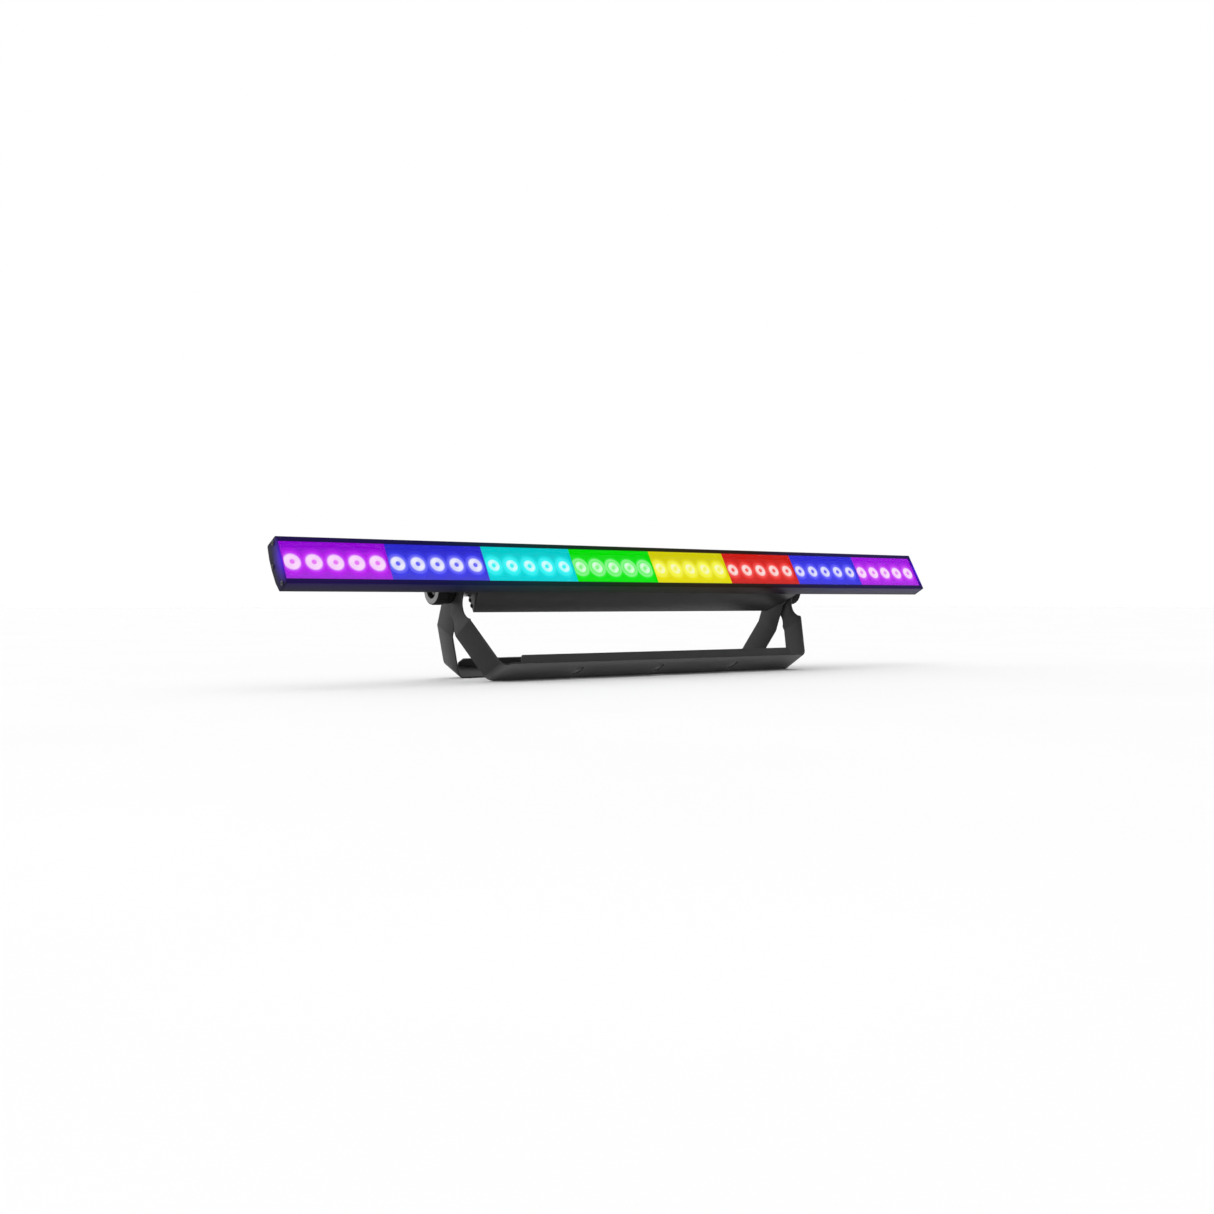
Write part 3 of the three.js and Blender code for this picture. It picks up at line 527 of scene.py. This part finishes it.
materials = {
    "anodised_black": anodised("anodised_black", 0.004, 0.42, light_spill),
    "coated_black": powder_coat("coated_black", 0.021, 0.09, 0.4, 0.2),
    "screw_black": bare_metal("screw_black", gray(0.06), 0.35),
    "bright_steel": bare_metal("bright_steel", gray(0.6), 0.28),
    "bare_aluminium": bare_metal("bare_aluminium", gray(0.72), 0.35, (0.05, 1, 1)),
    "clear_cover": clear_sheet("clear_cover", 0.03),
    "lens": clear_sheet("lens", 0.05),
    "white_frame": glow_rails("white_frame"),
    "white_board": glow_rails("white_board"),
    "green_board": moulded("green_board", (0.03, 0.16, 0.06), 0.4),
    "bezel_black": moulded("bezel_black", gray(0.016), 0.42, 0.3),
    "display_glass": display_face("display_glass"),
    "black_plastic": moulded("black_plastic", gray(0.016), 0.5, 0.25),
    "blue_plastic": moulded("blue_plastic", (0.02, 0.11, 0.46), 0.45),
    "grey_plastic": moulded("grey_plastic", gray(0.32), 0.48),
    "button_grey": moulded("button_grey", gray(0.16), 0.5),
    "knob_black": moulded("knob_black", gray(0.007), 0.6, 0.1),
    "nylon": moulded("nylon", gray(0.6), 0.5),
    # Finishes of single pieces, beside the record's slots.
    "knob_cap": moulded("knob_cap", gray(0.2), 0.42, 0.3),
    "end_plate": anodised("end_plate", 0.01, 0.5, end_halo, shine=0.04),
    # The yokes' lighter undersides are painted floor bounce; their lighter edges are partly a painted
    # highlight.
    "yoke_coat": powder_coat("yoke_coat", 0.036, 0.25, 0.42, 0.1, underside=0.14),
    # The box ends take a darker copy of the box shell's coat.
    "box_end": powder_coat("box_end", 0.008, 0.04, 0.45, 0.1),
    "display_lit": lit_digits("display_lit"),
}


def assign_everything():
    for node, slot in slot_of.items():
        cad = frame["nodes"][node]
        cad.data.materials.clear()
        cad.data.materials.append(materials[slot])


def paint(piece, name):
    piece.data.materials.clear()
    piece.data.materials.append(materials[name])


# ---------------------------------------------------------------- turned pieces


def lathe(profile, segments, radius_at=None):
    """Outline of (radius, distance) pairs turned about X. It closes on the axis or on itself.

    radius_at changes a radius by the distance along X and the number of the step around.
    """
    bm = bmesh.new()
    rings = []
    for radius, along in profile:
        if radius == 0:
            rings.append([bm.verts.new((along, 0, 0))])
            continue
        ring = []
        for i in range(segments):
            angle = 2 * math.pi * i / segments
            reach = radius_at(radius, along, i) if radius_at else radius
            ring.append(bm.verts.new((along, reach * math.cos(angle), reach * math.sin(angle))))
        rings.append(ring)
    pairs = list(zip(rings, rings[1:]))
    if len(rings[0]) > 1:
        pairs.append((rings[-1], rings[0]))
    for a, b in pairs:
        for i in range(segments):
            j = (i + 1) % segments
            corners = [a[i % len(a)], a[j % len(a)], b[j % len(b)], b[i % len(b)]]
            bm.faces.new(list(dict.fromkeys(corners)))
    return bm


def merge(piece, other):
    """Adds the mesh of another object to a piece and removes that object."""
    bm = bmesh.new()
    bm.from_mesh(piece.data)
    bm.from_mesh(other.data)
    bm.to_mesh(piece.data)
    bm.free()
    bpy.data.objects.remove(other)


# ---------------------------------------------------------------- lights behind the window

CARRIER_HEIGHT = 36.6 * MM
CARRIER_THICKNESS = 1.5 * MM
CARRIER_DEPTH = 5 * MM  # from the bar's face to the carrier's front
CARRIER_END_ROOM = 0.9 * MM
LENS_PROUD = 0.96 * MM  # how far a lens stands before its carrier
# Half outline of a lens: distance from its middle, and distance back from its front.
LENS_OUTLINE = in_mm([
    (0, 0.5), (1.6, 0.56), (2.7, 0.9), (3.2, 0.2), (5.2, 0.05), (7.4, 0.35), (8.6, 0.9),
    (9.1, 0.7), (9.7, 0.7), (9.9, 0.95), (9.9, 2.2), (0, 2.2),
])


def light_section(index):
    """Lens plate of one section: a flat carrier with five low dished lenses."""
    bm = bmesh.new()
    plate = Matrix.Translation((0, CARRIER_DEPTH + CARRIER_THICKNESS / 2, 0))
    length = SECTION_LENGTH - 2 * CARRIER_END_ROOM
    size = Matrix.Diagonal((length, CARRIER_THICKNESS, CARRIER_HEIGHT, 1))
    bmesh.ops.create_cube(bm, size=1, matrix=plate @ size)
    piece = from_bmesh(f"lens_plate_{index + 1}", bm)
    for light in range(LIGHTS_PER_SECTION):
        x = (light - (LIGHTS_PER_SECTION - 1) / 2) * PITCH
        lens = from_bmesh("lens", lathe(LENS_OUTLINE, 40))
        lens.data.transform(Matrix.Translation((x, CARRIER_DEPTH - LENS_PROUD, 0))
                            @ Matrix.Rotation(math.radians(90), 4, "Z"))
        merge(piece, lens)
    middle = bar_low.x + (index + 0.5) * SECTION_LENGTH
    piece.matrix_world = HEAD @ Matrix.Translation((middle, FACE_Y, WINDOW_MIDDLE))
    dress(piece, "head", "lens", f"lens_strip_{index + 1}")
    piece.data.materials.append(section_glow(f"section_glow_{index + 1}", index))


# ---------------------------------------------------------------- knobs


FLUTES = 24
STEPS_PER_FLUTE = 6
FLUTE_DEPTH = 0.5 * MM
FLUTED_FROM = 11.5 * MM  # distance along the grip from the yoke
NECK_RADIUS = 16.4 * MM
RECESS_RADIUS = 10 * MM
RECESS_DEPTH = 11 * MM
BOLT_HOLE_RADIUS = 5.2 * MM
CAP_PROUD = 0.3 * MM  # how far the cap ring stands before the grip's outer face


def knob(side, sign):
    """Hand knob: a fluted grip with a plain neck, and a satin cap ring on its outer face."""
    low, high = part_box(f"knob_grip_{side}")
    length = high.x - low.x
    radius = (high.z - low.z) / 2
    face = length - CAP_PROUD

    def fluted(reach, along, i):
        if reach < radius * 0.93 or along < FLUTED_FROM or along > length - 0.6 * MM:
            return reach
        return reach - FLUTE_DEPTH * (0.5 - 0.5 * math.cos(2 * math.pi * i / STEPS_PER_FLUTE))

    outline = [
        (BOLT_HOLE_RADIUS, 0), (NECK_RADIUS - 1 * MM, 0), (NECK_RADIUS - 0.2 * MM, 0.6 * MM),
        (NECK_RADIUS, 1.2 * MM), (NECK_RADIUS, 9.4 * MM), (NECK_RADIUS + 0.4 * MM, 10.2 * MM),
        (NECK_RADIUS + 1.2 * MM, 11 * MM), (radius - 0.1 * MM, 11.8 * MM), (radius, 12.8 * MM),
        (radius, length - 1.6 * MM), (radius - 0.3 * MM, length - 0.7 * MM),
        (radius - 1 * MM, face), (RECESS_RADIUS + 0.5 * MM, face),
        (RECESS_RADIUS, face - 0.5 * MM), (RECESS_RADIUS, length - RECESS_DEPTH),
        (BOLT_HOLE_RADIUS, length - RECESS_DEPTH),
    ]
    start = low.x if sign > 0 else high.x
    place = Matrix.Translation((start, PIVOT.y, PIVOT.z)) @ Matrix.Diagonal((sign, 1, 1, 1))
    body = f"knob_{side}"
    bm = lathe(outline, FLUTES * STEPS_PER_FLUTE, fluted)
    bm.transform(place)
    grip = from_bmesh(f"knob_{side}_grip", bm)
    dress(grip, body, "knob_black", f"knob_grip_{side}")
    paint(grip, "knob_black")
    ring = [
        (RECESS_RADIUS + 0.7 * MM, face - 0.1 * MM), (radius - 1.3 * MM, face - 0.1 * MM),
        (radius - 1.5 * MM, length - 0.05 * MM), (radius - 1.9 * MM, length),
        (RECESS_RADIUS + 1.3 * MM, length), (RECESS_RADIUS + 0.8 * MM, length - 0.1 * MM),
    ]
    bm = lathe(ring, 96)
    bm.transform(place)
    cap = from_bmesh(f"knob_{side}_cap", bm)
    dress(cap, body, "knob_black")
    cap.data.materials.append(materials["knob_cap"])
    bolt = bevelled(f"knob_bolt_{side}", 0.25 * MM, angle=28)
    paint(bolt, "screw_black")


# ---------------------------------------------------------------- rear panel

# Ends of each lit stroke of a digit, in shares of its width and height.
DIGIT_STROKES = {
    "0": [(0, 0, 1, 0), (0, 1, 1, 1), (0, 0, 0, 1), (1, 0, 1, 1)],
    "1": [(1, 0, 1, 1)],
}
DIGIT_WIDTH = 6 * MM
DIGIT_HEIGHT = 10.5 * MM
DIGIT_STEP = 10.5 * MM
DIGIT_STROKE = 1.2 * MM
DIGIT_THICKNESS = 0.1 * MM


def display_digits(text):
    """Lit digits on the display, which read from behind, so their x runs backwards."""
    low, high = local_box("display")
    face = high.y + 0.06 * MM
    bottom = (low.z + high.z - DIGIT_HEIGHT) / 2
    row_width = DIGIT_STEP * len(text) - (DIGIT_STEP - DIGIT_WIDTH)
    start = (low.x + high.x + row_width) / 2
    bm = bmesh.new()
    for place, digit in enumerate(text):
        for x0, z0, x1, z1 in DIGIT_STROKES[digit]:
            left = start - place * DIGIT_STEP
            ends = [Vector((left - DIGIT_WIDTH * x, face, bottom + DIGIT_HEIGHT * z))
                    for x, z in ((x0, z0), (x1, z1))]
            lift = 0.03 * MM if x0 == x1 else 0  # upright strokes stand over the others' ends
            size = [abs(a - b) + DIGIT_STROKE for a, b in zip(*ends)]
            middle = (ends[0] + ends[1]) / 2 + Vector((0, lift / 2, 0))
            shape = Matrix.Diagonal((size[0], DIGIT_THICKNESS + lift, size[2], 1))
            bmesh.ops.create_cube(bm, size=1, matrix=Matrix.Translation(middle) @ shape)
    digits = from_bmesh("display_digits", bm, HEAD)
    dress(digits, "head", "display_glass")
    digits.data.materials.append(materials["display_lit"])


def tube(name, points, radius):
    """Round bar along a smooth line through the points, as a mesh."""
    curve = bpy.data.curves.new(name, "CURVE")
    curve.dimensions = "3D"
    curve.bevel_depth = radius
    curve.bevel_resolution = 6
    curve.use_fill_caps = True
    line = curve.splines.new("POLY")
    line.points.add(len(points) - 1)
    for target, point in zip(line.points, points):
        target.co = (*point, 1)
    holder = bpy.data.objects.new(name, curve)
    mesh = bpy.data.meshes.new_from_object(holder)
    bpy.data.objects.remove(holder)
    return mesh


def safety_eye():
    """Bent round bar on a foot plate."""
    low, high = local_box("safety_eye")
    middle = (low.x + high.x) / 2
    radius = 2.5 * MM
    half_span = 10 * MM
    rise = 5.25 * MM
    foot_thickness = 2 * MM
    foot_height = 12 * MM
    root = PANEL_FACE + foot_thickness / 2
    shoulder = high.y - radius - rise
    turns = [math.pi * i / 24 for i in range(25)]
    bow = [(middle - half_span * math.cos(a), shoulder + rise * math.sin(a), 0) for a in turns]
    path = [(middle - half_span, root, 0), *bow, (middle + half_span, root, 0)]
    bm = bmesh.new()
    bm.from_mesh(tube("safety_eye_bar", path, radius))
    foot = Matrix.Translation((middle, root, 0))
    size = Matrix.Diagonal((high.x - low.x, foot_thickness, foot_height, 1))
    made = bmesh.ops.create_cube(bm, size=1, matrix=foot @ size)
    edges = {edge for vertex in made["verts"] for edge in vertex.link_edges}
    bmesh.ops.bevel(bm, geom=list(edges), offset=0.5 * MM, segments=2, profile=0.5, affect="EDGES")
    eye = from_bmesh("safety_eye_shape", bm, HEAD)
    dress(eye, "head", "bright_steel", "safety_eye")
    eye.data.materials.append(materials["bright_steel"])


# ---------------------------------------------------------------- building

# Width of the rounded edges in mm, for the CAD nodes that are redrawn with them.
EDGE_WIDTHS = {
    "front_yoke": 0.45, "rear_yoke": 0.45, "bar_housing": 0.2, "end_plate_left": 0.3,
    "end_plate_right": 0.3, "box_shell": 0.2, "box_end_left": 0.25, "box_end_right": 0.25,
    "power_inlet": 0.3, "power_outlet": 0.3, "data_inlet": 0.3, "data_outlet": 0.3,
    "fuse_cap": 0.2, "control_bezel": 0.2, "knob_washer_left": 0.1, "knob_washer_right": 0.1,
    "button_1": 0.2, "button_2": 0.2, "button_3": 0.2, "button_4": 0.2,
}
# Redrawn nodes that don't take the finish of their record slot.
OWN_FINISHES = {
    "front_yoke": "yoke_coat", "rear_yoke": "yoke_coat", "end_plate_left": "end_plate",
    "end_plate_right": "end_plate", "box_end_left": "box_end", "box_end_right": "box_end",
}

assign_everything()
for index in range(SECTIONS):
    light_section(index)
for side, sign in (("left", -1), ("right", 1)):
    knob(side, sign)
for node, width in EDGE_WIDTHS.items():
    paint(bevelled(node, width * MM), OWN_FINISHES.get(node, slot_of[node]))
display_digits("001")
safety_eye()


# ---------------------------------------------------------------- stage, light and camera


def stage_floor():
    bm = bmesh.new()
    bmesh.ops.create_grid(bm, x_segments=8, y_segments=8, size=20)
    floor = from_bmesh("floor", bm)
    t = new_material("floor_white")
    cloud = t.noise(t.position(), 3, 2)
    floor.data.materials.append(t.surface(
        Base_Color=t.mix(cloud, gray(0.86), gray(0.89)), Roughness=0.9, Specular_IOR_Level=0.05))


def studio():
    """White tent: bright above, behind and most of all to the left behind, and dim in front."""
    world = bpy.data.worlds.new("studio")
    t = Nodes(world)
    way = t.node("SeparateXYZ", {"Vector": t.node("TexCoord").outputs["Generated"]}).outputs
    above = t.math("MULTIPLY", t.remap(way["Z"], 0.2, 0.8, 0, 1.4),
                   t.remap(way["Y"], -0.6, 0.2, 0.45, 1))
    behind = t.remap(way["Y"], -0.2, 0.6, 0, 0.35)
    left_behind = t.math("MULTIPLY", t.remap(way["X"], 0.0, -0.6, 0, 2.0),
                         t.remap(way["Y"], 0.2, 0.7, 0, 1))
    left_behind = t.math("MULTIPLY", left_behind, t.remap(way["Z"], 0.2, 0.5, 1, 0))
    low_front = t.math("MULTIPLY", t.remap(way["Y"], -0.2, -0.8, 0, 0.8),
                       t.remap(way["Z"], 0.35, 0.1, 0, 1))
    total = t.math("ADD", t.math("ADD", above, behind), t.math("ADD", left_behind, low_front))
    total = t.math("ADD", total, 0.15)
    seen = t.node("LightPath").outputs["Is Camera Ray"]
    strength = t.math("ADD", t.math("MULTIPLY", total, t.math("SUBTRACT", 1.0, seen)), seen)
    background = t.node("Background", {"Color": (1, 1, 1, 1), "Strength": strength})
    t.node("OutputWorld", {"Surface": background.outputs[0]})
    bpy.context.scene.world = world
    bpy.context.scene.view_settings.view_transform = "Standard"


EYE_FROM_PIVOT = Vector((-1.0568, -1.3527, -0.01465))
CAMERA_YAW = -37.03  # degrees
FOCAL_LENGTH = 40.03  # in millimetres, on a sensor 36 mm wide
SHIFT_Y = -0.004


def camera():
    """Level camera, low and to the left of the bar, turned to look along it."""
    data = bpy.data.cameras.new("camera")
    data.sensor_width = 36
    data.lens = FOCAL_LENGTH
    data.shift_y = SHIFT_Y
    eye = bpy.data.objects.new("camera", data)
    bpy.context.scene.collection.objects.link(eye)
    eye.location = PIVOT + EYE_FROM_PIVOT
    eye.rotation_euler = (math.radians(90), 0, math.radians(CAMERA_YAW))
    bpy.context.scene.camera = eye


stage_floor()
studio()
camera()
